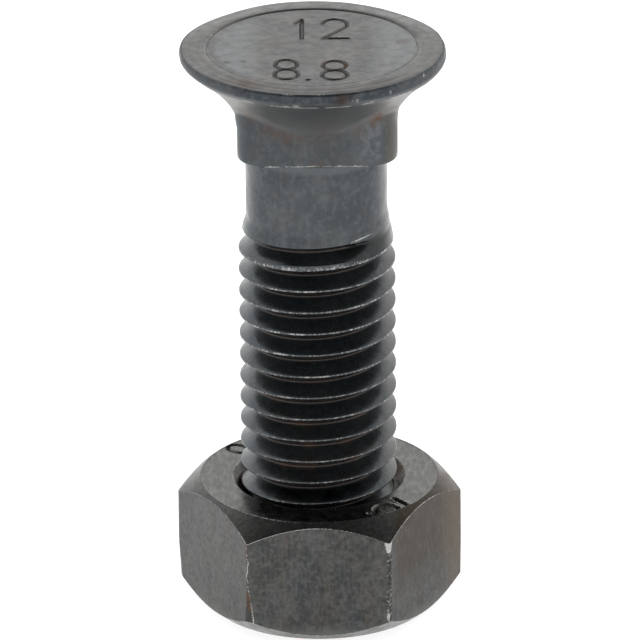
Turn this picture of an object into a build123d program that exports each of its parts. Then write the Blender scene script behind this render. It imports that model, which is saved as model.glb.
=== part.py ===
"""M12 x 45 plow bolt with its hexagon nut.

The bolt is one forging with a rolled thread: a flat countersunk head, a square neck that keeps it from
turning in a plowshare, a plain shank and a right-hand coarse thread. The nut is on the thread's first turns,
flush with the bolt's end. Millimetres. Z is the bolt's axis, with the head at the top and the bolt's end and
the nut's lower face on Z = 0. One flat of the neck and one flat of the nut face -Y.
"""

from build123d import *
from math import cos, radians, sin, tan
import os

# Bolt, from the head down
bolt_length = 45.0
head_d = 20.1  # across the widest part of the land
head_face_d = 19.86
head_edge_height = 0.5  # from the head's face down to the widest part of the land
land_height = 1.2
land_foot_d = 19.1
seat_angle = 90.0  # included angle of the conical seat
throat_d = 13.4  # where the seat gives way to a steeper cone that leads into the neck's flats
throat_angle = 50.0
throat_depth = 0.3  # how deep that cone ends inside the neck's flats
neck_width = 12.1
neck_corner_r = 2.4
neck_edge = 0.25
neck_depth = 7.4  # from the head's face to the neck's underside
shank_d = 10.7
point_length = 1.1
point_d = 9.4

# Thread, M12 coarse, right hand: a plain V, without the small flats of the rolled profile
pitch = 1.75
thread_major_d = 11.8
thread_minor_d = 9.85
thread_length = 30.2  # from the bolt's end to where the groove begins to rise out of the metal
thread_lead_in = 0.915  # how far below the bolt's end the groove starts
crest_run_out = 3.1  # length over which the crests sink to the shank
run_out_r = 10.0  # the rolling die leaves the thread on this larger arc
run_out_angle = 32.0
crest_stock = 0.05  # metal left outside the crests, which the grooves' mouths take off

# Nut
across_flats = 18.8
nut_height = 9.9
nut_face_d = 18.2  # the upper face, which bears on what the bolt holds
nut_face_angle = 44.0  # of the cone outside that face, from the level
nut_base_d = 17.2  # the lower face
nut_base_angle = 39.0
corner_clearance = 0.2  # how far outside the hexagon's corners the two cones meet their cylinder
countersink_d = 13.2
thread_clearance = 0.1  # all round, between the bolt's crests and the nut's bore

major_r = thread_major_d / 2
minor_r = thread_minor_d / 2
shank_r = shank_d / 2
neck_z = bolt_length - neck_depth
land_foot_z = bolt_length - land_height

# The thread's groove is a V that meets its neighbours at the crests. It is cut half a turn at a time.
half_pitch = pitch / 2
groove_height = thread_length + thread_lead_in
half_turns = int(groove_height / half_pitch)
cutter_depth = major_r - minor_r + 2 * crest_stock
cutter_half_width = half_pitch * cutter_depth / (major_r - minor_r)


def groove_cutter(height, leaves_metal):
    """V that winds up by height, and then, where it leaves the metal, rises out of it on an arc."""
    with BuildPart() as cutter:
        with BuildLine():
            winding = Helix(pitch=pitch, height=height, radius=minor_r, center=(0, 0, -thread_lead_in))
            if leaves_metal:
                end, forward = winding @ 1, winding % 1
                outward = Vector(end.X, end.Y, 0).normalized()
                rise = run_out_r * (cos(radians(run_out_angle)) - 1)
                run = run_out_r * sin(radians(run_out_angle))
                TangentArc(end, end + outward * rise + forward * run, tangent=forward)
        with BuildSketch(Plane(origin=winding @ 0, x_dir=(1, 0, 0), z_dir=winding % 0)):
            with BuildLine():
                Polyline(
                    (0, 0),
                    (cutter_depth, -cutter_half_width),
                    (cutter_depth, cutter_half_width),
                    close=True,
                )
            make_face()
        sweep(is_frenet=True)
    return cutter.part


half_turn_cutter = groove_cutter(half_pitch, leaves_metal=False)
end_cutter = groove_cutter(groove_height - half_turns * half_pitch, leaves_metal=True)

with BuildPart() as bolt:
    # Head: face, land, conical seat and throat
    with BuildSketch(Plane.XZ):
        with BuildLine():
            throat_z = land_foot_z - (land_foot_d - throat_d) / 2 / tan(radians(seat_angle / 2))
            throat_end_r = neck_width / 2 - throat_depth
            throat_end_z = throat_z - (throat_d / 2 - throat_end_r) / tan(radians(throat_angle / 2))
            Polyline(
                (0, throat_end_z),
                (0, bolt_length),
                (head_face_d / 2, bolt_length),
                (head_d / 2, bolt_length - head_edge_height),
                (land_foot_d / 2, land_foot_z),
                (throat_d / 2, throat_z),
                (throat_end_r, throat_end_z),
                close=True,
            )
        make_face()
    revolve()

    # Square neck with rounded corners, up into the head
    with BuildSketch(Plane.XY.offset(neck_z)):
        RectangleRounded(neck_width, neck_width, neck_corner_r)
    extrude(amount=neck_depth - land_height)
    neck_underside = bolt.faces().filter_by(Axis.Z).sort_by(Axis.Z)[0]
    chamfer(neck_underside.outer_wire().edges(), neck_edge)

    # Shank, thread blank that sinks to the shank at its upper end, and chamfered point
    with BuildSketch(Plane.XZ):
        with BuildLine():
            blank_r = major_r + crest_stock
            crests_end_z = thread_length + pitch
            Polyline(
                (0, 0),
                (point_d / 2, 0),
                (blank_r, point_length),
                (blank_r, crests_end_z - crest_run_out),
                (shank_r, crests_end_z),
                (shank_r, neck_z),
                (0, neck_z),
                close=True,
            )
        make_face()
    revolve()

    # Thread
    with Locations([Location((0, 0, turn * half_pitch), (0, 0, 180 * turn)) for turn in range(half_turns)]):
        add(half_turn_cutter, mode=Mode.SUBTRACT)
    with Locations(Location((0, 0, half_turns * half_pitch), (0, 0, 180 * half_turns))):
        add(end_cutter, mode=Mode.SUBTRACT)

# Nut: a hexagonal prism turned to a cone at both faces, with its bore over the bolt's crests
with BuildPart() as nut:
    with BuildSketch():
        RegularPolygon(radius=across_flats / 2, side_count=6, major_radius=False)
    extrude(amount=nut_height)

    with BuildSketch(Plane.XZ):
        with BuildLine():
            nut_r = across_flats / 2 / cos(radians(30)) + corner_clearance
            face_cone_height = (nut_r - nut_face_d / 2) * tan(radians(nut_face_angle))
            base_cone_height = (nut_r - nut_base_d / 2) * tan(radians(nut_base_angle))
            Polyline(
                (0, 0),
                (nut_base_d / 2, 0),
                (nut_r, base_cone_height),
                (nut_r, nut_height - face_cone_height),
                (nut_face_d / 2, nut_height),
                (0, nut_height),
                close=True,
            )
        make_face()
    revolve(mode=Mode.INTERSECT)

    bore_r = major_r + thread_clearance
    Hole(bore_r)
    circles = nut.edges().filter_by(GeomType.CIRCLE)
    chamfer(circles.filter_by(lambda edge: abs(edge.radius - bore_r) < 1e-6), countersink_d / 2 - bore_r)

os.makedirs("parts", exist_ok=True)
bolt.part.label = "bolt"
nut.part.label = "nut"
export_step(bolt.part, "parts/bolt.step")
export_step(nut.part, "parts/nut.step")
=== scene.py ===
"""Looks of a blackened M12 plow bolt that stands head up on its hexagon nut.

The bolt and the nut are each one skin of points about the Z axis, in millimetres. The rolled thread and its
run-out, the stamped figures and the places of wear, rust, dirt, painted highlight and painted shade are in
the mesh. Colour and tool marks are in the materials, with some painted highlight, reflection and shade.
"""

import math

import bpy
import numpy as np
from mathutils import Matrix, Vector, noise


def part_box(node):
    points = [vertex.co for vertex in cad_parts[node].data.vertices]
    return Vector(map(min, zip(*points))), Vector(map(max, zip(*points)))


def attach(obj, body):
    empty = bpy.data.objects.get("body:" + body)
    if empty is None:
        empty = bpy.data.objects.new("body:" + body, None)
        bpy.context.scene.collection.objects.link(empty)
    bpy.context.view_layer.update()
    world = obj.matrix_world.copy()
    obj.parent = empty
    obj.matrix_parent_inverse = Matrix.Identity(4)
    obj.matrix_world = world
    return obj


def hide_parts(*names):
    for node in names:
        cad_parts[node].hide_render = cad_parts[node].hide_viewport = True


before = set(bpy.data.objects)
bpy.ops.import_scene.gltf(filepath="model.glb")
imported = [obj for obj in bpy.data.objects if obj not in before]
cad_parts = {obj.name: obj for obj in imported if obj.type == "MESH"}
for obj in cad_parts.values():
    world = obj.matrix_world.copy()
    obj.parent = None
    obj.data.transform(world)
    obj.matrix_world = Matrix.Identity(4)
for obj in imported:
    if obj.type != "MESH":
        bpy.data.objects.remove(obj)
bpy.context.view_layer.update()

MM = 0.001
TURN = 2 * math.pi

# Sizes read from the solids
bolt_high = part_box("bolt")[1] / MM
nut_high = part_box("nut")[1] / MM
bolt_length = bolt_high.z
head_r = bolt_high.x
nut_height = nut_high.z
nut_flat_r = nut_high.y

# Bolt, from the head down
ring_r = 8.0  # ring pressed into the head's face
ring_depth = 0.13
middle_drop = 0.03  # how far the middle of the face lies below its rim
head_stamp = (0.17, 0.32)  # depth and width of the strokes of the figures on the head
face_droop = 0.2  # how far the face falls away towards the back
back_lift = 0.11  # how much less it does so at the very back
land_foot_z = bolt_length - 1.2
land_foot_r = head_r - 0.5
land_shift = -0.21  # the forging's flash was trimmed a little off centre
seat_arc_r = 10.6  # the seat is slightly hollow
seat_foot_r, seat_foot_z = 6.04, bolt_length - 5.0
seat_foot_angle = math.radians(28.9)
neck_z = bolt_length - 7.4
neck_half = 6.03
neck_corner_r = 2.4
neck_edge_r = 0.22
neck_offset = 0.11  # the neck was forged a little off centre
shank_fillet = (0.5, 0.5)  # its width and height, under the neck
shank_r = 5.36
point_r, point_length = 4.7, 1.1

# Thread
pitch = 1.75
major_r = 5.96
root_r = 0.13  # radius of the rolled root
minor_r = 4.704
lead_in = 0.915  # how far below the bolt's end the groove starts
thread_length = 30.2
end_turn = (thread_length + lead_in) / pitch  # where the rolling die starts to leave the metal
run_out_rise, run_out_turns = 1.3, 0.105  # past there the root rises by this much over this part of a turn
groove_drift = (0.13, 0.17)  # how far up the groove wanders in its last quarter turn, and then past its end
thread_rows_top = 33.0  # from here up the shank is plain
crest_sink = (28.85, 32.1)  # between these heights the crests sink to the shank

# Nut
nut_turn = math.radians(-0.66)
nut_face_r, nut_face_slope = 9.1, math.tan(math.radians(44))
nut_front_lack = 0.1  # how much smaller the top face is at the front, where its blank was lean
nut_side_fullness = 0.2  # how much less the upper cone slopes at the sides, where it was full
nut_base_r, nut_base_slope = 8.68, math.tan(math.radians(39))
nut_base_offset = 0.07  # the lower cone was turned a little off centre
# Rounding of each upright edge at its top and its bottom, from the edge on +X round to the right of the front
nut_corner_r = [(0.06, 0.3), (0.16, 0.3), (0.2, 0.4), (0.25, 1.2), (0.16, 0.75), (0.36, 0.4)]
LEFT_EDGE, RIGHT_EDGE = 4, 5  # the two upright edges at the front
corner_ratio = 1.15  # of an upright edge's distance from the axis to a side's
edge_line = 0.05  # half the width of the bright line that an edge wears to
nut_stamp = (0.18, 0.36)  # depth and width of the strokes of the figures on the top face
burr_room = 0.02  # the stamped metal lies this much lower, so that its burrs stay under the top face
countersink_r = 6.6
nut_minor_r = 5.15
nut_major_r = 6.03
thread_gap = 0.1  # between the nut's thread and the bolt's
lip = 0.03  # width of the edge between the bore's mouth and a face

# How finely the skins are divided
COLUMNS = 128
NECK_COLUMNS = 256
LAND_COLUMNS = 384
DISC_STEPS = 144
SHARP_ANGLE = math.radians(38)


def smooth(low, high, value):
    t = np.clip((value - low) / (high - low), 0, 1)
    return t * t * (3 - 2 * t)


def soft_max(a, b, blend):
    """The larger of a and b, with a fillet of about that size where they cross."""
    return 0.5 * (a + b + np.sqrt((a - b) ** 2 + blend**2))


def soft_min(a, b, blend):
    return -soft_max(-a, -b, blend)


def bump(value, centre, width):
    return np.exp(-(((value - centre) / width) ** 2))


def columns(count):
    return TURN * np.arange(count) / count


def turn_after(turns, number):
    """Where a ring's next point is, in turns. After the last one the ring closes, and then there is none."""
    if number + 1 < len(turns):
        return turns[number + 1]
    return 1.0 + turns[0] if number + 1 == len(turns) else math.inf


class Skin:
    """A mesh made of rings of points about Z, with the masks that its material reads at each point."""

    def __init__(self):
        self.points, self.faces, self.slots = [], [], []
        self.masks = {"wear": [], "rust": [], "dark": []}
        self.count = 0

    def add(self, points, **masks):
        points = np.asarray(points, float).reshape(-1, 3)
        first = self.count
        self.count += len(points)
        self.points.append(points)
        for name, values in self.masks.items():
            values.append(np.broadcast_to(np.ravel(masks.get(name, 0.0)), len(points)))
        return np.arange(first, self.count)

    def ring(self, angle, radius, height, shift=0.0, **masks):
        radius, height = np.broadcast_to(radius, angle.shape), np.broadcast_to(height, angle.shape)
        x, y = radius * np.cos(angle) + shift, radius * np.sin(angle)
        return self.add(np.stack([x, y, height], 1), **masks)

    def face(self, corners, slot):
        kept = [c for i, c in enumerate(corners) if c != corners[i - 1]]
        if len(set(kept)) > 2:
            self.faces.append(kept)
            self.slots.append(slot)

    def join(self, lower, upper, slot=0, lower_turns=None, upper_turns=None):
        """Faces between two rings, upper outward of or above lower. Their counts may differ.

        lower_turns and upper_turns say where round the axis the points are, if not evenly spaced.
        """
        a = np.arange(len(lower)) / len(lower) if lower_turns is None else lower_turns
        b = np.arange(len(upper)) / len(upper) if upper_turns is None else upper_turns
        i = j = 0
        while i < len(lower) or j < len(upper):
            next_a, next_b = turn_after(a, i), turn_after(b, j)
            here = [lower[i % len(lower)], upper[j % len(upper)]]
            if abs(next_a - next_b) < 1e-9:
                i, j = i + 1, j + 1
                self.face([here[0], lower[i % len(lower)], upper[j % len(upper)], here[1]], slot)
            elif next_a < next_b:
                i += 1
                self.face([here[0], lower[i % len(lower)], here[1]], slot)
            else:
                j += 1
                self.face([here[0], upper[j % len(upper)], here[1]], slot)

    def stack(self, rings, slot=0):
        for lower, upper in zip(rings, rings[1:]):
            self.join(lower, upper, slot)

    def cap(self, ring, centre, slot=0):
        middle = self.add([centre])[0]
        for i, c in enumerate(ring):
            self.face([middle, ring[(i + 1) % len(ring)], c], slot)

    def build(self, name, materials):
        used = np.unique(np.concatenate([np.array(face) for face in self.faces]))
        renumbered = np.zeros(self.count, int)
        renumbered[used] = np.arange(len(used))
        points = np.concatenate(self.points)[used] * MM
        mesh = bpy.data.meshes.new(name)
        mesh.from_pydata(points.tolist(), [], [renumbered[face].tolist() for face in self.faces])
        for mask, values in self.masks.items():
            values = np.clip(np.concatenate(values)[used], 0, 1)
            mesh.attributes.new(mask, "FLOAT", "POINT").data.foreach_set("value", values.astype(np.float32))
        for material in materials:
            mesh.materials.append(material)
        mesh.polygons.foreach_set("material_index", self.slots)
        mesh.polygons.foreach_set("use_smooth", [True] * len(mesh.polygons))
        mesh.validate()
        mesh.set_sharp_from_angle(angle=SHARP_ANGLE)
        piece = bpy.data.objects.new(name, mesh)
        bpy.context.scene.collection.objects.link(piece)
        return piece


def patches(angle, height, scale, seed, radius=8.0):
    """Noise from about 0 to 1 over the skin, in patches of about scale millimetres."""
    angle, height = np.broadcast_arrays(angle, height)
    x, y, z = radius * np.cos(angle) / scale, radius * np.sin(angle) / scale, height / scale + 7.3 * seed
    values = [noise.noise(Vector(point)) for point in zip(x.ravel(), y.ravel(), z.ravel())]
    return 0.5 + 0.9 * np.array(values).reshape(angle.shape)


def helical_strip(skin, offsets, low, high, surface, inside=False):
    """Grid between two heights whose rows follow the thread's helix.

    The rows are at these offsets from the groove's middle, in millimetres along the axis. surface(turns,
    offset, angle, height) gives each point's radius and masks. Returns the rings at the two ends.
    """
    per_turn = len(offsets)
    first = math.floor((low + lead_in) / pitch) - 2
    last = math.ceil((high + lead_in) / pitch) + 1
    rows = [(n, offset) for n in range(first, last + 1) for offset in offsets]
    turn = np.array([n for n, _ in rows], float)
    offset = np.array([row_offset for _, row_offset in rows])
    column_turn = np.arange(COLUMNS) / COLUMNS
    height = pitch * (turn[:, None] + column_turn[None, :]) + offset[:, None] - lead_in
    clamped = np.clip(height, low, high)
    angle = np.broadcast_to(TURN * column_turn, height.shape)
    turns = turn[:, None] + column_turn[None, :]
    radius, masks = surface(turns, clamped + lead_in - pitch * turns, angle, clamped)
    points = np.stack([radius * np.cos(angle), radius * np.sin(angle), clamped], 2)
    index = skin.add(points, **masks).reshape(height.shape)
    # Rows beyond an end share that end's point
    starts = (height <= low).sum(0) - 1
    ends = len(rows) - (height >= high).sum(0)
    row = np.arange(len(rows))[:, None]
    index = index[np.clip(row, starts, ends), np.arange(COLUMNS)]
    for column in range(COLUMNS):
        beside, step = (column + 1, 0) if column + 1 < COLUMNS else (0, per_turn)
        right = index[:, beside][np.clip(np.arange(len(rows)) + step, 0, len(rows) - 1)]
        left = index[:, column]
        for k in range(len(rows) - 1):
            corners = [left[k], right[k], right[k + 1], left[k + 1]]
            skin.face(corners[::-1] if inside else corners, 0)
    return index[0], index[-1]


# Stamped figures: each is one or more strokes in a box one unit wide and one unit high


def arc(centre, radii, start_deg, end_deg, steps=18):
    angle = np.radians(np.linspace(start_deg, end_deg, steps + 1))
    return np.stack([centre[0] + radii[0] * np.cos(angle), centre[1] + radii[1] * np.sin(angle)], 1)


FIGURES = {
    "0": [arc((0.5, 0.5), (0.5, 0.5), 0, 360)],
    "1": [np.array([(0.5, 0.0), (0.5, 1.0), (0.2, 0.8)])],
    "2": [np.concatenate([arc((0.5, 0.72), (0.48, 0.28), 170, -30), [(0.04, 0.0), (1.0, 0.0)]])],
    "8": [arc((0.5, 0.75), (0.46, 0.25), 0, 360), arc((0.5, 0.25), (0.5, 0.25), 0, 360)],
    ".": [np.array([(0.45, 0.0), (0.55, 0.04)])],
    "|": [np.array([(0.5, 0.0), (0.5, 1.0)])],
}


def figure(character, centre, width, height, up_deg=90.0):
    """The strokes of one figure on a plane, with its middle at centre and its top towards up_deg."""
    turn = math.radians(up_deg - 90)
    across, up = np.array([math.cos(turn), math.sin(turn)]), np.array([-math.sin(turn), math.cos(turn)])
    placed = []
    for stroke in FIGURES[character]:
        right, above = (stroke[:, 0] - 0.5) * width, (stroke[:, 1] - 0.5) * height
        placed.append(np.array(centre) + np.outer(right, across) + np.outer(above, up))
    return placed


def stamp(x, y, strokes, depth, width):
    """How far each point of a plane is pressed in by a punch that followed the strokes, and the punch's mask.

    The metal beside the punch stands up in a low burr.
    """
    nearest = np.full(x.shape, np.inf)
    for stroke in strokes:
        for (ax, ay), (bx, by) in zip(stroke, stroke[1:]):
            dx, dy = bx - ax, by - ay
            along = ((x - ax) * dx + (y - ay) * dy) / (dx * dx + dy * dy)
            along = np.clip(along, 0, 1)
            nearest = np.minimum(nearest, np.hypot(x - ax - along * dx, y - ay - along * dy))
    mask = 1 - smooth(0.2 * width, 0.62 * width, nearest)
    burr = 0.12 * depth * bump(nearest, 0.8 * width, 0.25 * width)
    return depth * mask - burr, mask


# Where rust, nicks and dirt show: place in millimetres, size and strength
BOLT_RUST = [
    ((4.75, -5.9, 41.55), 0.4, 1.0),
    ((4.35, -6.1, 41.25), 0.35, 0.9),
    ((3.2, -6.2, 40.6), 0.5, 0.3),
    ((-5.0, -5.9, 41.6), 0.6, 0.35),
    ((-3.6, -6.1, 40.75), 0.5, 0.35),
    ((-2.9, -6.1, 40.4), 0.45, 0.35),
    ((-2.2, -6.1, 40.05), 0.5, 0.35),
    ((0.8, -6.4, 41.3), 1.2, 0.2),
    ((-6.0, -2.7, 38.6), 0.4, 0.35),
    ((0.3, -6.0, 37.75), 0.3, 0.5),
    ((-0.4, -6.0, 37.75), 0.25, 0.35),
    ((1.0, -5.3, 34.9), 0.7, 0.3),
    ((0.0, -5.4, 34.0), 0.5, 0.25),
    ((2.0, -9.7, 44.7), 0.6, 0.2),
    ((-5.0, -7.2, 45.0), 0.9, 0.4),
    ((1.0, -3.2, 45.0), 0.4, 0.7),
    ((2.3, -3.6, 45.0), 0.4, 0.9),
    ((2.0, -5.4, 45.0), 0.3, 0.5),
]
BOLT_NICKS = [
    ((3.1, -9.45, 44.4), 0.24, 0.55),
    ((2.7, -9.6, 44.35), 0.16, 0.5),
    ((5.65, -8.15, 44.5), 0.2, 0.6),
    ((6.55, -7.42, 44.6), 0.16, 0.6),
    ((8.2, -5.55, 44.8), 0.2, 0.8),
    ((4.4, -8.9, 43.95), 0.25, 0.8),
    ((-2.2, -9.4, 43.9), 0.35, 1.0),
    ((-1.4, -9.55, 43.95), 0.4, 1.0),
    ((-9.6, -2.5, 44.5), 0.3, 0.5),
    ((1.0, 10.0, 44.6), 0.4, 0.6),
    ((-6.5, 7.4, 44.3), 0.3, 0.6),
    ((-3.9, -5.9, 41.0), 0.25, 0.35),
    ((4.4, -4.6, 37.5), 0.4, 0.35),
]
BOLT_DIRT = [
    ((1.9, -9.7, 44.5), 0.55, 0.8),
    ((2.5, -9.5, 44.6), 0.35, 0.6),
    ((-2.0, -5.9, 39.8), 0.5, 0.35),
    ((-6.66, -2.93, 45.0), 0.3, 0.6),
    ((-5.41, -2.76, 45.0), 0.22, 0.6),
    ((1.9, -9.6, 45.0), 0.5, 0.5),
]

# Where the neck's lower front edge is worn bright: place along X and width
NECK_EDGE_WEAR = [(-3.4, 0.45), (-1.1, 0.7), (0.75, 0.2), (1.75, 0.4), (3.0, 0.4)]


def spots(x, y, z, places):
    total = np.zeros(np.shape(x))
    for centre, size, strength in places:
        squared = (x - centre[0]) ** 2 + (y - centre[1]) ** 2 + (z - centre[2]) ** 2
        total = np.maximum(total, strength * np.exp(-squared / size**2))
    return total


def marked_ring(skin, angle, radius, height, shift=0.0, wear=0.0, rust=0.0, dark=0.0):
    """A ring of the bolt's skin whose masks also hold the rust, nicks and dirt of the places above."""
    x, y = radius * np.cos(angle) + shift, radius * np.sin(angle)
    wear = np.maximum(wear, spots(x, y, height, BOLT_NICKS))
    rust = np.maximum(rust, spots(x, y, height, BOLT_RUST))
    dark = np.maximum(dark, spots(x, y, height, BOLT_DIRT))
    return skin.ring(angle, radius, height, shift, wear=wear, rust=rust, dark=dark)


def rounded_square(angle, half, corner):
    """Distance from the axis to a square's side, the square having rounded corners."""
    c, s = np.abs(np.cos(angle)), np.abs(np.sin(angle))
    flat = half / np.maximum(c, s)
    middle = half - corner
    reach = middle * (c + s)
    arc_r = reach + np.sqrt(np.maximum(reach**2 - 2 * middle**2 + corner**2, 0))
    return np.where(flat * np.minimum(c, s) <= middle, flat, arc_r)


# Half of the groove's section, from its middle to the crest: an arc, then a flank at 30 degrees
flank_start = root_r * math.cos(math.radians(30))
flank_foot = root_r * (1 - math.sin(math.radians(30)))
flank_end = flank_start + (major_r - minor_r - flank_foot) * math.tan(math.radians(30))
half_offsets = [0.055, flank_start, 0.2, 0.32, 0.46, 0.6]
half_offsets += [flank_end - 0.07, flank_end - 0.02, flank_end + 0.03]


def both_sides(offsets):
    """Rows of one turn: these offsets on both sides of the groove's middle, and the middle of the crest."""
    return [-offset for offset in reversed(offsets)] + [0.0] + offsets + [pitch / 2]


def groove_rise(offset):
    """How far the groove's side is above its root, at this distance from the groove's middle."""
    d = np.abs(offset)
    root = root_r - np.sqrt(np.maximum(root_r**2 - np.minimum(d, flank_start) ** 2, 0))
    return np.where(d < flank_start, root, flank_foot + (d - flank_start) / math.tan(math.radians(30)))


def groove_root(turns):
    """Radius of the groove's root. Past its end it rises out of the metal, ever more steeply."""
    past = np.clip(turns - end_turn - 0.02, 0, 0.25)
    return minor_r + run_out_rise * (past / run_out_turns) ** 1.5


def crest_radius(turns, offset, angle, height):
    """Radius of the crests, which sink to the shank. Past the groove's end lie a low swell and a trace."""
    sunk = np.clip((height - crest_sink[0]) / (crest_sink[1] - crest_sink[0]), 0, 1)
    last_turn = math.floor(end_turn) + angle / TURN + 1 - smooth(math.radians(20), math.radians(100), angle)
    above_last = height + lead_in - pitch * last_turn
    swell = 1 - smooth(1.0, 2.0, above_last)
    trace = bump(offset, 0.2, 0.26) * smooth(end_turn + 0.04, end_turn + 0.12, turns)
    trace = trace * smooth(end_turn + 0.42, end_turn + 0.25, turns)
    return shank_r + (major_r - shank_r) * (1 - sunk) * swell - 0.07 * trace


def thread_surface(turns, offset, angle, height):
    past_end = turns - end_turn
    before, after = groove_drift
    drifted = offset - before * smooth(-0.28, -0.1, past_end) - after * smooth(0.02, 0.1, past_end)
    groove = groove_root(turns) + groove_rise(drifted)
    crest = crest_radius(turns, offset, angle, height)
    point = point_r + (major_r - point_r) * height / point_length
    run_out = smooth(0.04, 0.11, past_end)
    radius = soft_min(soft_min(groove, crest, 0.03 + 0.2 * run_out), point, 0.06)
    on_crest = smooth(-0.05, 0.02, groove - crest) * (1 - run_out) * (past_end < 0.2)
    return radius, thread_masks(past_end, offset, drifted, on_crest, angle, height)


def thread_masks(past_end, offset, drifted, on_crest, angle, height):
    """Broken wear on the crests and the run-out's lip, rust at the root and high on the flanks.

    Painted shade darkens the root and the end of the groove.
    """
    broken = patches(angle, height, 0.9, 3.0, major_r)
    fine = patches(angle, height, 0.3, 9.0, major_r)
    on_crest = on_crest * smooth(0.24, 0.1, pitch / 2 - np.abs(offset)) * smooth(30.2, 29.6, height)
    upper = smooth(15, 27, height)
    glint = smooth(0.5, 0.85, 0.45 * broken + 0.6 * fine)
    wear = on_crest * (0.27 + 0.11 * upper + (0.2 + 0.12 * upper) * glint)
    wear = wear * (1 - 0.12 * smooth(27.4, 28.2, height))
    end_lip = bump(drifted, 0.6, 0.07) * smooth(0.03, 0.08, past_end) * smooth(0.118, 0.098, past_end)
    wear = np.maximum(wear, 1.1 * end_lip * smooth(0.2, 0.5, fine))
    stained = smooth(0.5, 0.8, patches(angle, height, 2.0, 5.0, major_r))
    low = 0.35 + 0.65 * smooth(21, 17, height)
    rust = stained * low * (0.8 * bump(offset, flank_end - 0.1, 0.14) + 0.45 * bump(offset, 0, 0.16))
    rust = rust * (height < 29)
    # Painted shade along the root and at the groove's end, through the dark mask; the root also has a little
    # rust
    root = bump(drifted, 0, 0.12) * smooth(0.1, 0.02, past_end)
    shaded = smooth(0.0, 0.06, past_end) * smooth(0.2, 0.13, past_end) * smooth(0.4, 0.2, drifted)
    shaded = 0.6 * shaded * (height > 28.6)
    return {"wear": wear, "rust": np.maximum(rust, 0.14 * root), "dark": np.maximum(0.6 * root, shaded)}


def cone_radius(height):
    """The hollow seat under the head: an arc from the neck out to the land's foot."""
    leaning = math.sin(seat_foot_angle) + (height - seat_foot_z) / seat_arc_r
    return seat_foot_r + seat_arc_r * (math.cos(seat_foot_angle) - np.sqrt(1 - leaning**2))


def off_centre(height):
    """How far the bolt's skin is off its axis along X, from the neck up to the face."""
    return neck_offset * (1 - smooth(39.8, 40.8, height)) + land_shift * smooth(43.7, 44.7, height)


def add_neck(skin):
    """Rings of the fillet under the neck, its worn lower edge, its flats and the seat above them."""
    around = columns(NECK_COLUMNS)
    rings = []
    inner = rounded_square(around, neck_half - neck_edge_r, neck_corner_r - neck_edge_r)
    width, height = shank_fillet
    reach = soft_min(inner - 0.02, shank_r + width, 0.08) - shank_r
    for share in (0, 0.15, 0.3, 0.45, 0.6, 0.75, 0.9, 1):
        radius, z = shank_r + reach * share**4, neck_z - height * (1 - share)
        rings.append(skin.ring(around, radius, z, shift=neck_offset * share))
    for a in np.radians((0, 25, 42, 58, 74, 90)):
        inset = neck_edge_r * (1 - math.sin(a))
        z = neck_z + neck_edge_r * (1 - math.cos(a))
        radius = rounded_square(around, neck_half - inset, neck_corner_r - inset)
        along_flat = np.minimum(np.abs(radius * np.cos(around)), np.abs(radius * np.sin(around)))
        worn = bump(math.degrees(a), 40, 32) * smooth(4.3, 3.7, along_flat)
        front = sum(bump(radius * np.cos(around), x, size) for x, size in NECK_EDGE_WEAR)
        worn = worn * np.where(np.sin(around) < -0.5, 0.7 + 0.8 * np.minimum(front, 1), 0.5)
        rings.append(marked_ring(skin, around, radius, z, off_centre(z), wear=worn))
    flat, crossing, seat = (neck_z + 0.6, 39.0), (39.2, 41.9), (42.1, land_foot_z - 0.12)
    heights = np.concatenate([np.linspace(*flat, 3), np.arange(*crossing, 0.14), np.linspace(*seat, 6)])
    square = rounded_square(around, neck_half, neck_corner_r)
    along_flat = square * np.minimum(np.abs(np.cos(around)), np.abs(np.sin(around)))
    crossing_blend = 0.24 - 0.17 * smooth(3.6, 4.6, along_flat)
    for z in heights:
        cone = cone_radius(z)
        radius = soft_max(square, cone, crossing_blend)
        rust = 0.3 * bump(square - cone, 0.05, 0.2) * smooth(0.3, 0.8, patches(around, z, 2.4, 7.0))
        rings.append(marked_ring(skin, around, radius, z, off_centre(z), rust=rust))
    return rings


def add_land(skin):
    """Rings of the land: a worn foot, a bulge and the edge of the face."""
    around = columns(LAND_COLUMNS)
    # Radius, height over the face and wear
    profile = [
        (land_foot_r - 0.03, -1.22, 0.5),
        (land_foot_r + 0.06, -1.15, 1.0),
        (land_foot_r + 0.13, -1.07, 0.3),
        (head_r - 0.21, -0.92, 0.0),
        (head_r - 0.07, -0.74, 0.0),
        (head_r - 0.01, -0.58, 0.0),
        (head_r, -0.45, 0.0),
        (head_r - 0.01, -0.3, 0.0),
        (head_r - 0.035, -0.16, 0.0),
        (head_r - 0.08, -0.06, 0.1),
        (head_r - 0.14, -0.012, 0.5),
        (head_r - 0.24, 0.0, 0.1),
    ]
    dents = 0.04 * smooth(0.62, 0.9, patches(around, bolt_length, 1.6, 11.0))
    front = bump(around, 1.5 * math.pi, 0.6)
    foot_wear = 0.25 + 0.75 * smooth(0.42, 0.7, patches(around, land_foot_z, 0.9, 4.0) + 0.12 * front)
    rim_wear = smooth(0.45, 0.75, patches(around, bolt_length, 1.0, 5.0)) * (0.3 + 0.7 * front)
    rings = []
    for r, level, worn in profile:
        radius = r - dents * (level > -0.5)
        z = bolt_length + level - (droop(around, r) if level > -0.4 else 0.0)
        chipped = worn * (foot_wear if level < -1 else rim_wear)
        rings.append(marked_ring(skin, around, radius, z, off_centre(bolt_length + level), wear=chipped))
    return rings


def droop(angle, radius):
    """How far the face falls away at the back, towards its edge."""
    towards_back = np.sin(angle)
    fall = face_droop * smooth(0.1, 0.75, towards_back) - back_lift * smooth(0.75, 1.0, towards_back)
    return fall * smooth(8.3, 9.9, radius)


# The pressed ring's section: distance from ring_r, share of its depth, and strength of the painted highlight
# on its edges
RING_SECTION = [(0.2, 0.0, 0.3), (0.11, 0.3, 1.0), (0.03, 1.0, 0.1), (-0.06, 0.95, 0.1), (-0.15, 0.25, 0.7)]


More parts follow.
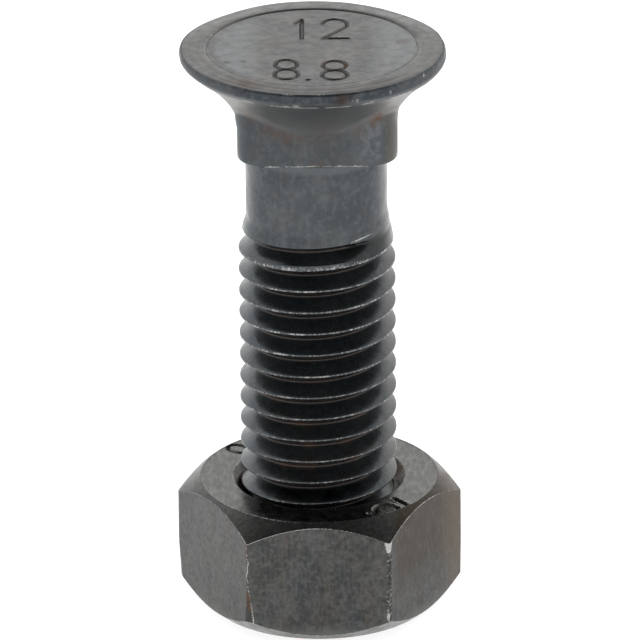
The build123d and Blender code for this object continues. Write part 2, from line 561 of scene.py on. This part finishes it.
def add_face(skin, edge):
    """The head's face: a turned rim, a pressed ring and the stamped middle, a square grid drawn to a disc."""
    around = columns(NECK_COLUMNS)
    rim = [edge]
    for r in (9.5, 9.1, 8.7, 8.35):
        rim.append(marked_ring(skin, around, r, bolt_length - droop(around, r), land_shift))
    towards_back = np.sin(around)
    depth = ring_depth * (0.3 + 0.7 * smooth(-0.8, 0.3, towards_back))
    beside = smooth(0.75, 0.3, np.abs(towards_back))
    for r, share, line in RING_SECTION:
        # Painted shade in the ring towards the back, and a painted highlight on its edges at the left and
        # right
        shade = smooth(0.25, 0.8, towards_back) * share
        z = bolt_length - np.maximum(share * depth, 0.005)
        rim.append(skin.ring(around, ring_r + r, z, land_shift, wear=0.36 * line * beside, dark=0.45 * shade))
    skin.stack(rim, slot=1)
    steps = np.linspace(-1, 1, DISC_STEPS + 1)
    a, b = np.meshgrid(steps, steps, indexing="ij")
    safe_a, safe_b = np.where(a == 0, 1, a), np.where(b == 0, 1, b)
    wide = np.abs(a) > np.abs(b)
    radius = np.where(wide, a, b) * (ring_r - 0.22)
    angle = np.where(wide, TURN / 8 * b / safe_a, TURN / 4 - TURN / 8 * a / safe_b)
    x, y = radius * np.cos(angle) + land_shift, radius * np.sin(angle)
    strokes = [
        *figure("8", (-2.17, -4.55), 1.8, 4.0),
        *figure(".", (-0.56, -6.2), 1.0, 1.0),
        *figure("8", (1.44, -4.8), 1.9, 3.85),
        *figure("1", (-1.0, 3.8), 1.7, 4.0),
        *figure("2", (1.5, 3.8), 2.0, 4.0),
    ]
    pressed, mask = stamp(x, y, strokes, *head_stamp)
    z = bolt_length - middle_drop - pressed
    rust = spots(x, y, bolt_length, BOLT_RUST) * (0.25 + 0.75 * smooth(0.1, 0.6, mask))
    dark = np.maximum(0.6 * smooth(0.1, 0.7, mask), spots(x, y, bolt_length, BOLT_DIRT))
    disc = skin.add(np.stack([x, y, z], 2), rust=rust, dark=dark).reshape(a.shape)
    for i in range(DISC_STEPS):
        for j in range(DISC_STEPS):
            skin.face([disc[i, j], disc[i + 1, j], disc[i + 1, j + 1], disc[i, j + 1]], 1)
    half = DISC_STEPS // 2
    sides = [disc[-1, half:-1], disc[:0:-1, -1], disc[0, :0:-1], disc[:-1, 0], disc[-1, :half]]
    skin.join(rim[-1], np.concatenate(sides), slot=1)


def build_bolt(materials):
    skin = Skin()
    around = columns(COLUMNS)
    end = [skin.ring(around, r, 0.0) for r in (2.4, 4.4)]
    skin.cap(end[0], (0, 0, 0))
    low, top = helical_strip(skin, both_sides(half_offsets), 0.0, thread_rows_top, thread_surface)
    shank_heights = np.linspace(thread_rows_top + 1, neck_z - shank_fillet[1] - 0.2, 3)
    shank = [skin.ring(around, shank_r, z) for z in shank_heights]
    land = add_land(skin)
    skin.stack([*end, low])
    skin.stack([top, *shank, *add_neck(skin), *land])
    add_face(skin, land[-1])
    return skin.build("bolt_body", materials)


def nearest_corner(angle, height):
    """Angle past the nearest upright edge of the nut, that edge's number, and its rounding at this height."""
    past = np.mod(angle + TURN / 12, TURN / 6) - TURN / 12
    number = (np.round(np.mod(angle, TURN) / (TURN / 6)) % 6).astype(int)
    upper, lower = np.array(nut_corner_r)[number].T
    return past, number, upper + (lower - upper) * smooth(4.8, 1.5, height)


def hexagon_radius(angle, height):
    """Distance from the axis to the nut's side, and how far past the end of the corner's rounding that is."""
    past, _, corner = nearest_corner(angle, height)
    from_corner = np.abs(past)
    middle = (nut_flat_r - corner) / math.cos(math.radians(30))
    flat = nut_flat_r / np.cos(TURN / 12 - from_corner)
    round_end = np.arctan2(corner * 0.5, middle + corner * math.cos(math.radians(30)))
    sideways = middle * np.sin(from_corner)
    arc_r = middle * np.cos(from_corner) + np.sqrt(np.maximum(corner**2 - sideways**2, 0))
    past_round = (from_corner - round_end) * nut_flat_r * corner_ratio
    return np.where(from_corner < round_end, arc_r, flat), past_round


def side_masks(angle, height):
    """Marks of the nut's upright edges. The two at the front took knocks and are drawn with more care."""
    past, number, _ = nearest_corner(angle, height)
    _, past_round = hexagon_radius(angle, height)
    broken = patches(angle, height, 0.7, 6.0, nut_flat_r)
    ends = bump(past_round, 0, edge_line)
    inside = smooth(0.04, -0.04, past_round)
    low = smooth(4.6, 3.9, height)

    # Left: a thin line that wanders. Lower down it parts into a bright one and a faint one, with rust between
    wandering = 0.05 * np.sin(3.1 * height) + 0.03 * np.sin(7.7 * height)
    single = bump(past * nut_flat_r * corner_ratio, wandering, 0.055) * (0.6 + 0.5 * bump(height, 6.1, 0.8))
    parted = ends * np.where(past > 0, 0.65 + 0.4 * bump(height, 1.9, 0.8), 0.35)
    left_wear = (1 - low) * single + low * parted
    left_rust = inside * (0.25 + 0.6 * low) * smooth(0.35, 0.6, broken)

    # Right: a dark band with specks, and a bright nick at its top and bottom
    band = smooth(0.1, -0.02, past_round)
    off_edge = np.abs(past * nut_flat_r + 0.04)
    wedge = smooth(7.35, 7.6, height) * smooth(0.2, 0.1, off_edge - 0.16 * (height - 7.5))
    nick = np.maximum(wedge, band * bump(height, 2.1, 0.4) * smooth(0.01, -0.01, past))
    right_wear = np.maximum(0.36 * smooth(0.16, 0.02, past_round) * (0.6 + 0.4 * broken), nick)
    right_dark = 0.45 * band * (1 - nick)

    left, right = number == LEFT_EDGE, number == RIGHT_EDGE
    wear = np.select([left, right], [left_wear, right_wear], 0.45 * ends * smooth(0.3, 0.6, broken))
    dark = np.select([left, right], [0.35 * inside, right_dark], 0.0)
    return {"wear": wear, "rust": left * left_rust, "dark": dark}


def face_edge_wear(angle, seed):
    """Broken bright worn line where a cone meets the nut's sides, stronger at the front.

    A painted highlight sits at the front left upright edge.
    """
    degrees = np.degrees(np.mod(angle, TURN))
    left = smooth(228, 243, degrees) * smooth(284, 262, degrees)
    right = smooth(299, 302, degrees) * smooth(345, 325, degrees)
    broken = 0.4 + 0.7 * patches(angle, 0.0, 0.5, seed, nut_flat_r)
    # The last term is the painted highlight
    return 0.5 + 0.8 * np.maximum(left, right) * broken + 0.5 * bump(degrees, 240, 3)


def nut_face_cone(angle, radius):
    """How far the upper cone is below the top face."""
    face_r = nut_face_r - nut_front_lack * smooth(0.8, 1.0, -np.sin(angle))
    slope = nut_face_slope - nut_side_fullness * smooth(0.5, 0.95, np.abs(np.cos(angle)))
    return np.maximum(radius - face_r, 0) * slope


def nut_base_cone(angle, radius):
    """How far the lower cone is above the bottom face."""
    from_middle = np.hypot(radius * np.cos(angle) - nut_base_offset, radius * np.sin(angle))
    return np.maximum(from_middle - nut_base_r, 0) * nut_base_slope


def nut_side_rings(angle):
    """Radius, height and masks of each ring from the bottom face's rim, up the side, to the top face's."""
    base_r = nut_base_r + nut_base_offset * np.cos(angle)
    ends = []
    for height, rim_r, cone in ((1.0, base_r, nut_base_cone), (nut_height - 1.0, nut_face_r, nut_face_cone)):
        outer, _ = hexagon_radius(angle, height)
        steps = [rim_r - edge_line, rim_r, rim_r + edge_line, 0.5 * (rim_r + outer), outer - edge_line, outer]
        ends.append([(radius, cone(angle, radius)) for radius in steps])
    rings = []
    edge_wear = face_edge_wear(angle, 12.0)
    for (radius, rise), line in zip(ends[0], (0, 0.4, 0, 0, 0.2, 1)):
        rings.append((radius, rise, {"wear": line * edge_wear}))
    low, high = ends[0][-1][1] + edge_line, nut_height - ends[1][-1][1] - edge_line
    for share in (0, *np.linspace(0.02, 0.98, 38), 1):
        height = low + share * (high - low)
        rings.append((hexagon_radius(angle, height)[0], height, side_masks(angle, height)))
    # A faint worn line round the top face's rim, with a painted highlight near the front left upright edge
    rim_wear = 0.2 + 0.65 * bump(angle, math.radians(243), 0.3)
    edge_wear = face_edge_wear(angle, 13.0)
    # Painted shade at the front of the top face's rim and the upper cone
    dark = 0.35 * bump(angle, math.radians(270), 0.75)
    for (radius, rise), wear in reversed(list(zip(ends[1], (0, rim_wear, 0, 0, 0, edge_wear)))):
        rings.append((radius, nut_height - rise, {"wear": wear, "dark": dark}))
    return rings


def bore_surface(turns, offset, angle, height):
    thread = np.clip(minor_r + groove_rise(offset) + thread_gap, nut_minor_r, nut_major_r)
    mouth = countersink_r - np.minimum(height, nut_height - height)
    radius = soft_max(thread, mouth, 0.05)
    wear = 0.6 * bump(thread, mouth, 0.08) * smooth(0.4, 0.8, patches(angle, height, 1.0, 1.0))
    rust = 0.4 * smooth(0.55, 0.9, patches(angle, height, 1.7, 2.0))
    return radius, {"wear": wear, "rust": rust}


def build_nut(materials):
    skin = Skin()
    around = columns(COLUMNS)
    # Degrees from an upright edge to the middle of a side, closest together along the edge's rounding
    half_side = np.array([0, 0.25, 0.5, 0.8, 1.2, 1.6, 2.0, 2.5, 3.1, 3.8, 4.8, 7, 9, 11, 14, 18, 22, 26])
    side = np.concatenate([half_side, [30], 60 - half_side[:0:-1]])
    turns = np.concatenate([side + 60 * k for k in range(6)]) / 360
    angle = TURN * turns

    rows = both_sides([0.13, 0.263, 0.42, 0.6, 0.7656])
    low, high = helical_strip(skin, rows, lip, nut_height - lip, bore_surface, inside=True)
    inner = skin.ring(around, countersink_r + lip, 0.0)
    rings = [skin.ring(angle, radius, height, **masks) for radius, height, masks in nut_side_rings(angle)]
    skin.join(low, inner)
    skin.join(inner, rings[0], upper_turns=turns)
    for lower_ring, upper_ring in zip(rings, rings[1:]):
        skin.join(lower_ring, upper_ring, lower_turns=turns, upper_turns=turns)

    # Top face, fine enough for its stamped figures
    fine = columns(4 * COLUMNS)
    strokes = [
        *figure("|", (6.37, -5.41), 1.0, 2.15, -51),
        *figure("0", (5.18, -6.74), 1.75, 2.0, -52),
        *figure("0", (-6.25, 4.95), 1.3, 1.9, 142),
        *figure("|", (4.05, -7.75), 1.0, 0.8, -60),
    ]
    top = []
    for r in np.linspace(nut_face_r - 2 * edge_line, countersink_r + 0.12, 34):
        x, y = r * np.cos(fine), r * np.sin(fine)
        pressed, mask = stamp(x, y, strokes, *nut_stamp)
        scuff = 0.5 * spots(x, y, 0.0, [((4.3, -8.2, 0.0), 0.45, 1.0), ((5.1, -8.3, 0.0), 0.4, 0.8)])
        z = nut_height - burr_room - np.maximum(pressed, -burr_room)
        top.append(skin.ring(fine, r, z, wear=scuff, dark=0.85 * smooth(0.2, 0.8, mask)))
    skin.join(rings[-1], top[0], slot=1, lower_turns=turns)
    skin.stack(top, slot=1)
    lip_wear = 0.6 * smooth(0.35, 0.7, patches(around, nut_height, 1.0, 3.0))
    rim = skin.ring(around, countersink_r + lip, nut_height - 0.01, wear=lip_wear)
    skin.join(top[-1], rim, slot=1)
    skin.join(rim, high)
    nut = skin.build("nut_body", materials)
    nut.data.transform(Matrix.Rotation(nut_turn, 4, "Z"))
    return nut


# Materials


class Surface:
    """One material in the making, with short ways to add nodes. It is measured in the piece's millimetres."""

    def __init__(self, name):
        self.material = bpy.data.materials.new(name)
        self.material.use_nodes = True
        self.tree = self.material.node_tree
        self.shader = self.tree.nodes["Principled BSDF"]
        self.colour = None
        place = self.node("ShaderNodeTexCoord", {})
        inputs = {0: place.outputs["Object"], "Scale": 1 / MM}
        self.place = self.node("ShaderNodeVectorMath", inputs, operation="SCALE").outputs["Vector"]
        split = self.node("ShaderNodeSeparateXYZ", {0: self.place})
        self.x, self.y, self.z = split.outputs
        across = self.node("ShaderNodeCombineXYZ", {"X": self.x, "Y": self.y})
        length = self.node("ShaderNodeVectorMath", {0: across.outputs[0]}, operation="LENGTH")
        self.radius = length.outputs["Value"]
        self.beside = self.math("ABSOLUTE", self.x)

    def node(self, kind, inputs, **settings):
        made = self.tree.nodes.new(kind)
        for key, value in settings.items():
            setattr(made, key, value)
        for key, value in inputs.items():
            self.give(made.inputs[key], value)
        return made

    def give(self, socket, value):
        if isinstance(value, bpy.types.NodeSocket):
            self.tree.links.new(value, socket)
        else:
            socket.default_value = value

    def mask(self, name):
        return self.node("ShaderNodeAttribute", {}, attribute_name=name).outputs["Fac"]

    def noise(self, size, detail, seed, stretch=(1, 1, 1)):
        """Noise from about 0.25 to 0.75 in patches of about size millimetres, longer along stretched axes."""
        scale = tuple(1 / (size * axis) for axis in stretch)
        inputs = {"Vector": self.place, "Location": (seed,) * 3, "Scale": scale}
        return self.texture(self.node("ShaderNodeMapping", inputs), detail)

    def turned(self, spacing, seed=0.0):
        """Noise that depends on the distance from the axis alone, as a turning tool leaves it."""
        across = self.math("MULTIPLY", self.radius, 1 / spacing)
        return self.texture(self.node("ShaderNodeCombineXYZ", {"X": across, "Y": seed}), 2.0)

    def texture(self, place, detail):
        inputs = {"Vector": place.outputs[0], "Scale": 1.0, "Detail": detail}
        return self.node("ShaderNodeTexNoise", inputs).outputs["Fac"]

    def math(self, operation, a, b=0.0):
        return self.node("ShaderNodeMath", {0: a, 1: b}, operation=operation).outputs[0]

    def product(self, first, *others):
        for other in others:
            first = self.math("MULTIPLY", first, other)
        return first

    def ramp(self, value, low, high, to_low=0.0, to_high=1.0):
        inputs = {"Value": value, "From Min": low, "From Max": high, "To Min": to_low, "To Max": to_high}
        return self.node("ShaderNodeMapRange", inputs, interpolation_type="SMOOTHSTEP").outputs["Result"]

    def mix(self, share, a, b):
        """Colour a with that share of colour b."""
        made = self.node("ShaderNodeMix", {"Factor": share}, data_type="RGBA")
        sockets = [socket for socket in made.inputs if socket.type == "RGBA"]
        for socket, colour in zip(sockets, (a, b)):
            self.give(socket, (*colour, 1) if isinstance(colour, tuple) else colour)
        return next(output for output in made.outputs if output.type == "RGBA")

    def tint(self, colour, *shares):
        """Mixes another colour into the surface's own, by the product of these shares."""
        self.colour = self.mix(self.product(*shares), self.colour, colour)

    def blend(self, share, a, b):
        inputs = {"Factor": share, "A": a, "B": b}
        return self.node("ShaderNodeMix", inputs, data_type="FLOAT").outputs["Result"]

    def bump(self, height, distance, after=None):
        inputs = {"Height": height, "Distance": distance * MM, "Strength": 1.0}
        if after is not None:
            inputs["Normal"] = after
        return self.node("ShaderNodeBump", inputs).outputs["Normal"]


def finish_steel(surface, roughness, normal, metallic=1.0):
    """Adds dirt and painted shade, rust, and wear with some painted highlight over the dark oxide, from the
    masks of the mesh.
    """
    speckle = surface.noise(0.17, 3.0, 5.0)
    dirt_and_shade, wear = surface.mask("dark"), surface.mask("wear")
    broken = surface.math("ADD", wear, surface.ramp(speckle, 0.25, 0.75, -0.3, 0.3))
    worn = surface.product(surface.ramp(broken, 0.25, 1.0), surface.ramp(wear, 0.02, 0.2))
    rusty = surface.product(surface.mask("rust"), surface.ramp(speckle, 0.36, 0.62, 0.5, 1.0))
    # The dark mask holds dirt and painted shade, the wear mask wear and some painted highlight
    surface.tint((0.022, 0.021, 0.02), dirt_and_shade)
    surface.tint(surface.mix(speckle, (0.2, 0.086, 0.03), (0.1, 0.05, 0.026)), rusty)
    surface.tint((0.55, 0.55, 0.54), worn)
    roughness = surface.blend(dirt_and_shade, roughness, 0.5)
    roughness = surface.blend(rusty, surface.blend(worn, roughness, 0.38), 0.7)
    metallic = surface.blend(worn, surface.blend(rusty, metallic, 0.35), 0.45)
    inputs = {"Base Color": surface.colour, "Roughness": roughness, "Metallic": metallic, "Normal": normal}
    for name, value in inputs.items():
        surface.give(surface.shader.inputs[name], value)
    return surface.material


def forged_steel():
    """Black oxide on the bolt's rolled and forged sides: cool at the left, warmer at the right edge."""
    surface = Surface("bolt_black_steel")
    x, z, radius, beside, ramp = surface.x, surface.z, surface.radius, surface.beside, surface.ramp
    forged = ramp(z, neck_z - 0.2, neck_z + 1.0)
    mottle = surface.noise(0.45, 5.0, 7.0)
    streak = surface.noise(0.5, 4.0, 6.0, stretch=(1, 1, 4))
    blotch = ramp(surface.noise(3.0, 5.0, 1.0), 0.35, 0.65)
    surface.colour = surface.mix(blotch, (0.062, 0.071, 0.078), (0.09, 0.096, 0.099))
    surface.tint((0.055, 0.063, 0.069), ramp(streak, 0.35, 0.65, 0.0, 0.5))
    surface.tint((0.125, 0.133, 0.137), ramp(mottle, 0.55, 0.35, 0.0, 0.35))
    surface.tint((0.08, 0.066, 0.058), ramp(surface.noise(1.1, 3.0, 8.0), 0.55, 0.7, 0.0, 0.25))
    surface.tint((0.105, 0.088, 0.07), ramp(x, 4.7, 5.9, 0.0, 0.55))
    surface.tint((0.05, 0.062, 0.073), ramp(x, -4.4, -5.5, 0.0, 0.55))

    # A lighter band round the shank under the neck, which is a painted reflection, and a rubbed strip at the
    # right of the neck's front
    over_band_foot, under_neck = ramp(z, neck_z - 1.1, neck_z - 0.6), ramp(z, neck_z + 0.1, neck_z - 0.1)
    surface.tint((0.12, 0.128, 0.132), over_band_foot, under_neck, 0.5)
    surface.tint((0.13, 0.14, 0.15), ramp(x, 2.2, 4.0), ramp(x, 5.2, 4.6), ramp(mottle, 0.35, 0.6), forged)

    # The seat, pale at both sides from a painted reflection, and the land, darker towards the face from
    # painted shade, less so at the sides
    sides = ramp(beside, 3.4, 6.8)
    on_seat = ramp(surface.math("SUBTRACT", z, radius), 33.9, 34.25)
    surface.tint(surface.mix(sides, (0.118, 0.122, 0.123), (0.33, 0.325, 0.315)), on_seat, forged, 0.8)
    surface.tint((0.115, 0.12, 0.124), ramp(z, land_foot_z - 0.08, land_foot_z + 0.05))
    upper_land = ramp(z, land_foot_z + 0.25, land_foot_z + 0.6)
    less_at_sides = ramp(sides, 1.0, 0.7, 0.65, 1.0)
    surface.tint((0.05, 0.058, 0.066), upper_land, ramp(mottle, 0.3, 0.6, 0.4, 1.0), less_at_sides)

    # The thread, duller in its grooves from painted shade, and paler at both sides from a painted sheen
    surface.tint((0.06, 0.063, 0.064), ramp(radius, 5.86, 5.6), ramp(z, 30.8, 30.0), 0.15)
    surface.tint((0.14, 0.145, 0.147), ramp(beside, 4.9, 5.5), ramp(z, 32.5, 31.5), 0.5)

    roughness = ramp(surface.noise(1.2, 4.0, 2.0), 0.3, 0.7, 0.2, 0.32)
    roughness = surface.blend(forged, roughness, 0.44)
    below_land = surface.product(forged, ramp(z, land_foot_z, land_foot_z - 0.2))
    metallic = surface.blend(below_land, 1.0, 0.65)
    normal = surface.bump(surface.noise(0.14, 4.0, 3.0), 0.006)
    normal = surface.bump(surface.noise(1.1, 2.0, 4.0), 0.02, after=normal)
    return finish_steel(surface, roughness, normal, metallic)


def face_steel():
    """The head's face, rubbed brighter, with streaks across it and turned marks outside the pressed ring.

    It has a painted sheen at its left and right inside the ring.
    """
    surface = Surface("bolt_head_face")
    radius, ramp = surface.radius, surface.ramp
    outside = ramp(radius, ring_r, ring_r + 0.3)
    rubbed = surface.noise(0.5, 4.0, 12.0, stretch=(6, 1, 1))
    fine = surface.noise(0.22, 4.0, 17.0, stretch=(2, 1, 1))
    turned = surface.turned(0.14)
    blotch = ramp(surface.noise(2.8, 4.0, 11.0), 0.38, 0.62)
    surface.colour = surface.mix(blotch, (0.092, 0.094, 0.095), (0.12, 0.117, 0.111))
    surface.tint((0.072, 0.065, 0.059), ramp(rubbed, 0.46, 0.62), ramp(radius, 6.5, 4.0), 0.35)
    # Painted sheen: lighter at the left and right inside the pressed ring
    surface.tint((0.18, 0.192, 0.199), ramp(surface.beside, 3.5, 6.0), ramp(radius, 7.9, 7.3), 0.75)
    surface.tint((0.17, 0.17, 0.165), ramp(fine, 0.4, 0.65, 0.0, 0.35))
    surface.tint((0.07, 0.069, 0.066), ramp(fine, 0.5, 0.3, 0.0, 0.3))
    surface.tint((0.038, 0.034, 0.031), ramp(surface.y, -4.5, -7.5), outside, 0.95)
    surface.tint((0.09, 0.068, 0.052), ramp(surface.noise(1.7, 5.0, 13.0), 0.56, 0.72, 0.0, 0.4))
    surface.tint((0.14, 0.138, 0.13), ramp(turned, 0.45, 0.6), outside)
    roughness = ramp(surface.noise(0.8, 4.0, 14.0), 0.3, 0.7, 0.26, 0.4)
    normal = surface.bump(surface.product(turned, outside), 0.012)
    normal = surface.bump(surface.noise(0.2, 4.0, 15.0), 0.006, after=normal)
    normal = surface.bump(surface.noise(1.6, 2.0, 16.0), 0.025, after=normal)
    return finish_steel(surface, roughness, normal)


def nut_steel(top_face):
    """The nut's neutral black. Its top face has turned marks, its sides faint upright tints.

    The sides also have painted light at the left, painted shade at the top of the right face and a painted
    reflection near the bottom.
    """
    surface = Surface("nut_top_face" if top_face else "nut_black_steel")
    x, z, ramp = surface.x, surface.z, surface.ramp
    blotch = ramp(surface.noise(2.2, 5.0, 21.0), 0.36, 0.64)
    surface.colour = surface.mix(blotch, (0.056, 0.057, 0.056), (0.078, 0.078, 0.075))
    normal = surface.bump(surface.noise(0.16, 4.0, 24.0), 0.002 if top_face else 0.007)
    if top_face:
        scratch = surface.noise(0.3, 4.0, 27.0, stretch=(1, 4, 1))
        surface.tint((0.142, 0.14, 0.135), 0.6)
        surface.tint((0.2, 0.2, 0.19), ramp(scratch, 0.5, 0.62, 0.0, 0.4))
        surface.tint((0.07, 0.07, 0.066), ramp(scratch, 0.5, 0.38, 0.0, 0.4))
        normal = surface.bump(surface.turned(0.14, 7.0), 0.005, after=normal)
    else:
        upright = surface.noise(0.9, 3.0, 22.0, stretch=(1, 1, 5))
        grain = surface.noise(0.32, 5.0, 28.0)
        streak = surface.noise(0.16, 3.0, 26.0, stretch=(1, 1, 7))
        # Painted light: lighter at the left
        surface.tint((0.1, 0.1, 0.096), ramp(x, -4.5, -6.0, 0.0, 0.55))
        surface.tint((0.09, 0.073, 0.06), ramp(upright, 0.5, 0.7, 0.0, 0.35))
        surface.tint((0.052, 0.062, 0.073), ramp(upright, 0.5, 0.3, 0.0, 0.35))
        surface.tint((0.034, 0.035, 0.036), ramp(grain, 0.5, 0.34, 0.0, 0.5))
        surface.tint((0.112, 0.112, 0.109), ramp(grain, 0.5, 0.66, 0.0, 0.45))
        # Painted shade: the right face darker and browner towards its top
        surface.tint((0.042, 0.032, 0.022), ramp(x, 5.2, 6.2), ramp(z, 2.0, 6.0, 0.0, 0.85))
        surface.tint((0.12, 0.094, 0.07), ramp(x, 8.6, 10.6, 0.0, 0.6))
        surface.tint((0.12, 0.12, 0.117), ramp(streak, 0.5, 0.65, 0.0, 0.25))
        # Painted reflection of the floor: lighter near the bottom
        surface.tint((0.145, 0.145, 0.14), ramp(z, 1.7, 0.4, 0.0, 0.7))
        normal = surface.bump(surface.noise(1.3, 2.0, 25.0), 0.015, after=normal)
    roughness = ramp(surface.noise(0.9, 4.0, 23.0), 0.3, 0.7, 0.22, 0.36)
    return finish_steel(surface, roughness, normal)


# Studio: a pale floor, white all round


def add_floor():
    """Pale and matt. Seen by the camera, or mirrored in metal, it is white apart from the shadow."""
    half_width, gap, glow = 3.0, 0.02 * MM, 0.75
    mesh = bpy.data.meshes.new("floor")
    corners = [(x * half_width, y * half_width, -gap) for x, y in ((-1, -1), (1, -1), (1, 1), (-1, 1))]
    mesh.from_pydata(corners, [], [(0, 1, 2, 3)])
    floor = bpy.data.objects.new("floor", mesh)
    bpy.context.scene.collection.objects.link(floor)
    material = bpy.data.materials.new("floor_pale")
    material.use_nodes = True
    nodes, links = material.node_tree.nodes, material.node_tree.links
    nodes.clear()
    rays = nodes.new("ShaderNodeLightPath")
    shown = rays.outputs["Is Camera Ray"]
    for ray in ("Is Glossy Ray", "Is Transmission Ray"):
        either = nodes.new("ShaderNodeMath")
        either.operation = "MAXIMUM"
        links.new(shown, either.inputs[0])
        links.new(rays.outputs[ray], either.inputs[1])
        shown = either.outputs[0]
    strength = nodes.new("ShaderNodeMath")
    strength.operation = "MULTIPLY"
    strength.inputs[1].default_value = glow
    emission = nodes.new("ShaderNodeEmission")
    diffuse = nodes.new("ShaderNodeBsdfDiffuse")
    diffuse.inputs["Color"].default_value = (0.8, 0.8, 0.8, 1)
    both = nodes.new("ShaderNodeAddShader")
    output = nodes.new("ShaderNodeOutputMaterial")
    links.new(shown, strength.inputs[0])
    links.new(strength.outputs[0], emission.inputs["Strength"])
    links.new(diffuse.outputs[0], both.inputs[0])
    links.new(emission.outputs[0], both.inputs[1])
    links.new(both.outputs[0], output.inputs["Surface"])
    mesh.materials.append(material)


def add_light():
    """White all round, as inside a tent of cloth, with a darker opening overhead that leans to the front."""
    world = bpy.data.worlds.new("studio")
    bpy.context.scene.world = world
    world.use_nodes = True
    tree = world.node_tree
    background = tree.nodes["Background"]
    direction = tree.nodes.new("ShaderNodeTexCoord")
    towards = tree.nodes.new("ShaderNodeVectorMath")
    towards.operation = "DOT_PRODUCT"
    towards.inputs[1].default_value = Vector((0.0, -0.35, 0.94)).normalized()
    opening = tree.nodes.new("ShaderNodeMapRange")
    opening.interpolation_type = "SMOOTHSTEP"
    for name, value in (("From Min", 0.5), ("From Max", 0.92), ("To Min", 1.2), ("To Max", 0.15)):
        opening.inputs[name].default_value = value
    tree.links.new(direction.outputs["Generated"], towards.inputs[0])
    tree.links.new(towards.outputs["Value"], opening.inputs["Value"])
    tree.links.new(opening.outputs["Result"], background.inputs["Strength"])
    background.inputs["Color"].default_value = (1, 1, 1, 1)


def add_camera():
    """Looks along +Y and down, from afar through a long lens, with the horizon tilted by half a degree."""
    elevation, distance, roll = math.radians(22.817), 746.65 * MM, math.radians(-0.544)
    aim = Vector((0.18 * MM, 0, 22.715 * MM))
    back = Vector((0, -math.cos(elevation), math.sin(elevation)))
    level_up = Vector((0, math.sin(elevation), math.cos(elevation)))
    level_right = Vector((1, 0, 0))
    right = math.cos(roll) * level_right + math.sin(roll) * level_up
    up = math.cos(roll) * level_up - math.sin(roll) * level_right
    data = bpy.data.cameras.new("camera")
    data.sensor_width = 36
    data.lens = 551.8
    data.clip_start, data.clip_end = 0.01, 20
    camera = bpy.data.objects.new("camera", data)
    turned = Matrix((right, up, back)).transposed().to_4x4()
    camera.matrix_world = Matrix.Translation(aim + distance * back) @ turned
    bpy.context.scene.collection.objects.link(camera)
    bpy.context.scene.camera = camera


bolt = build_bolt([forged_steel(), face_steel()])
nut = build_nut([nut_steel(top_face=False), nut_steel(top_face=True)])
for piece, node, slot in ((bolt, "bolt", "bolt_steel"), (nut, "nut", "nut_steel")):
    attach(piece, node)
    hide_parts(node)

add_floor()
add_light()
add_camera()
bpy.context.scene.view_settings.view_transform = "Standard"
